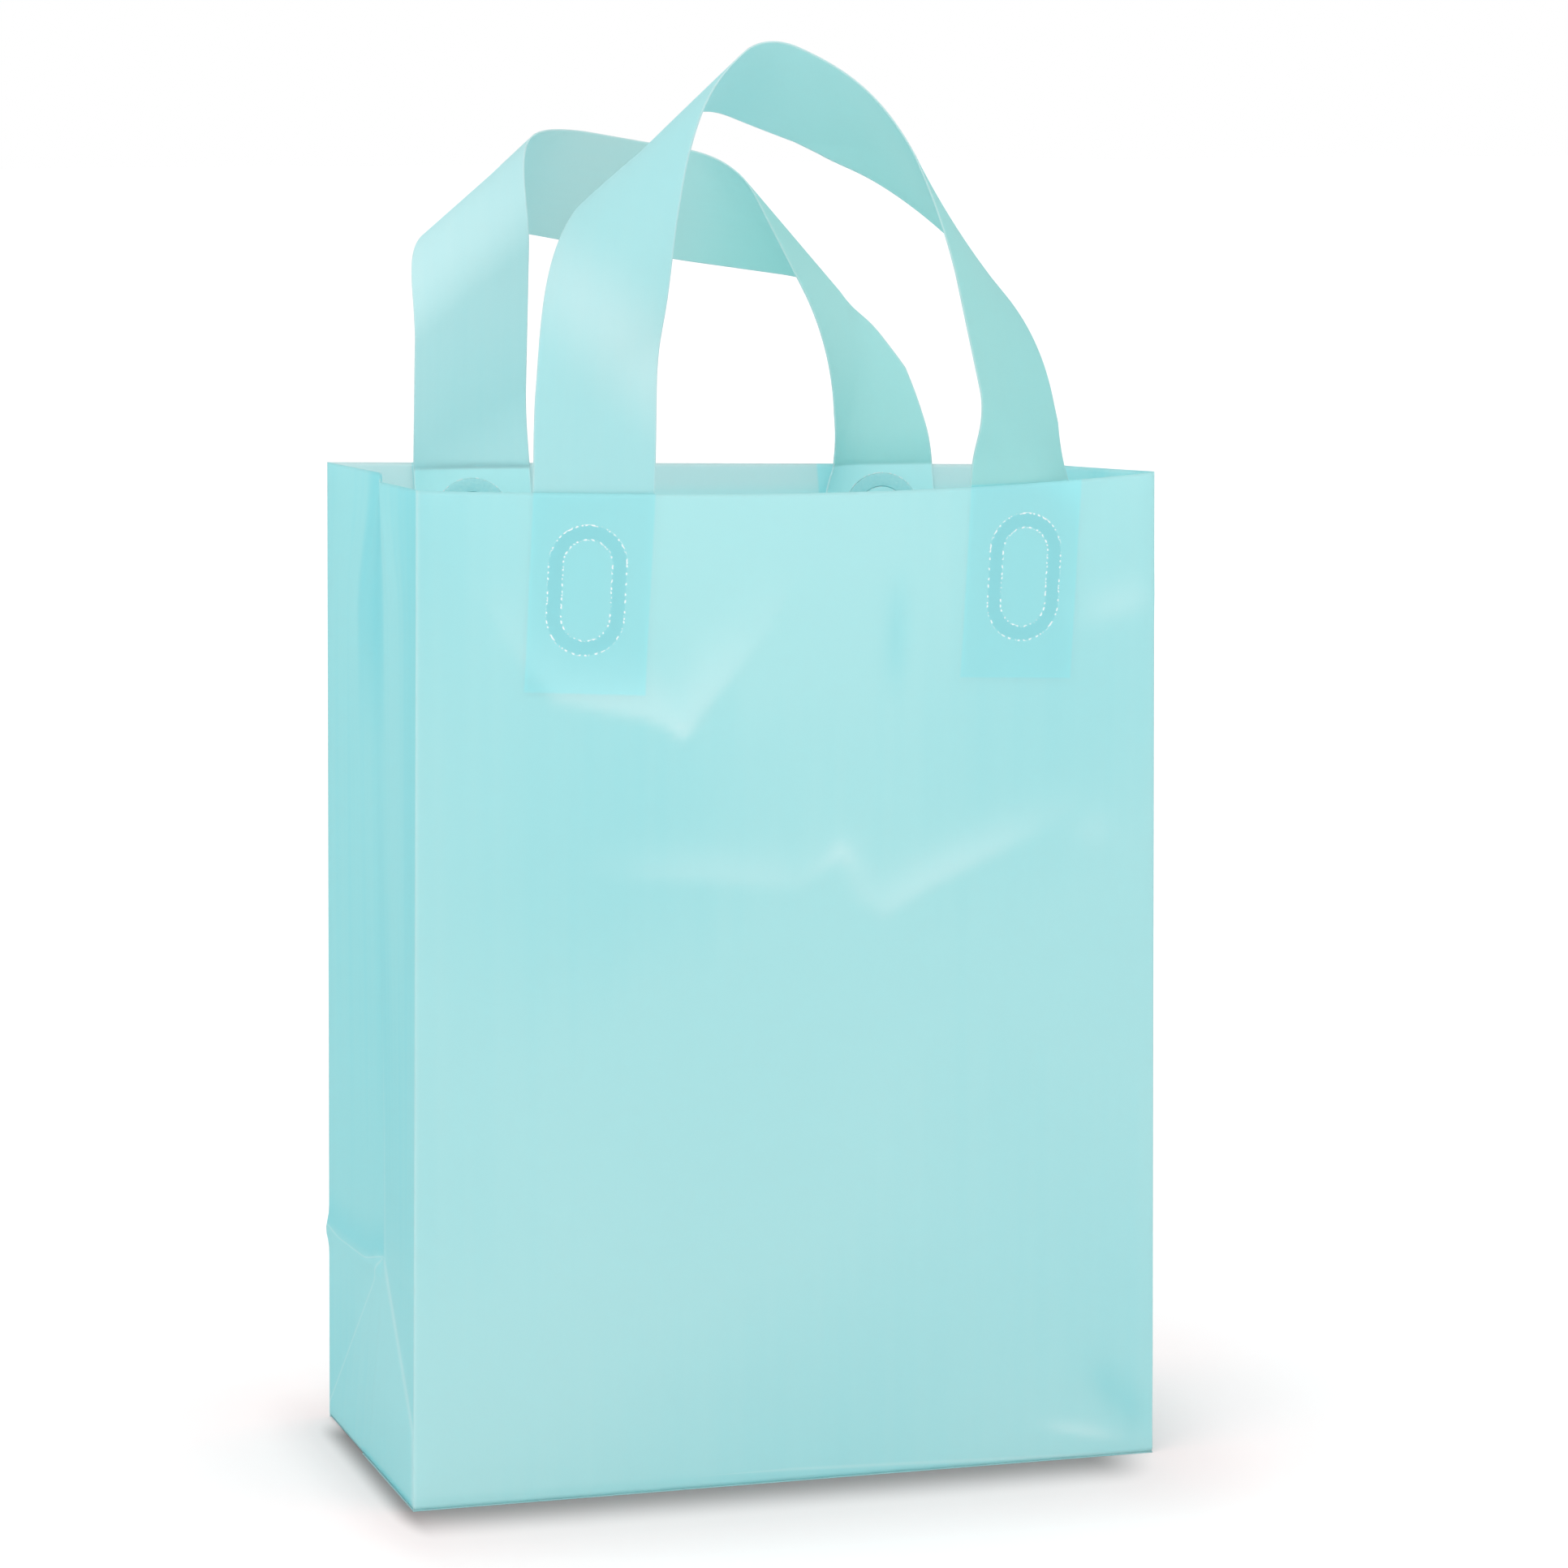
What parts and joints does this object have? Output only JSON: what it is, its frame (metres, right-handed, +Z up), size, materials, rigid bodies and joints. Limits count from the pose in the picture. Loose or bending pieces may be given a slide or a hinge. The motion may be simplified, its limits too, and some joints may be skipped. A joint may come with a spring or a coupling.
{
  "type": "plastic carrier bag",
  "caption": "Upright frosted film carrier bag with gusseted sides, a square folded base and soft loop handles of flat strip welded inside the mouth.",
  "frame": {"origin": "centre of the base, on the surface that the bag stands on", "axes": "+Z up, +X along the width to the right of a person facing the front panel, -Y out of the front panel"},
  "size_m": [0.2543, 0.1522, 0.4693],
  "materials": {
    "frosted_film": "frosted, translucent",
    "loop_film": "frosted, translucent"
  },
  "bodies": {
    "root": {"bag_body": "frosted_film", "front_handle": "loop_film", "rear_handle": "loop_film"}
  },
  "joints": []
}
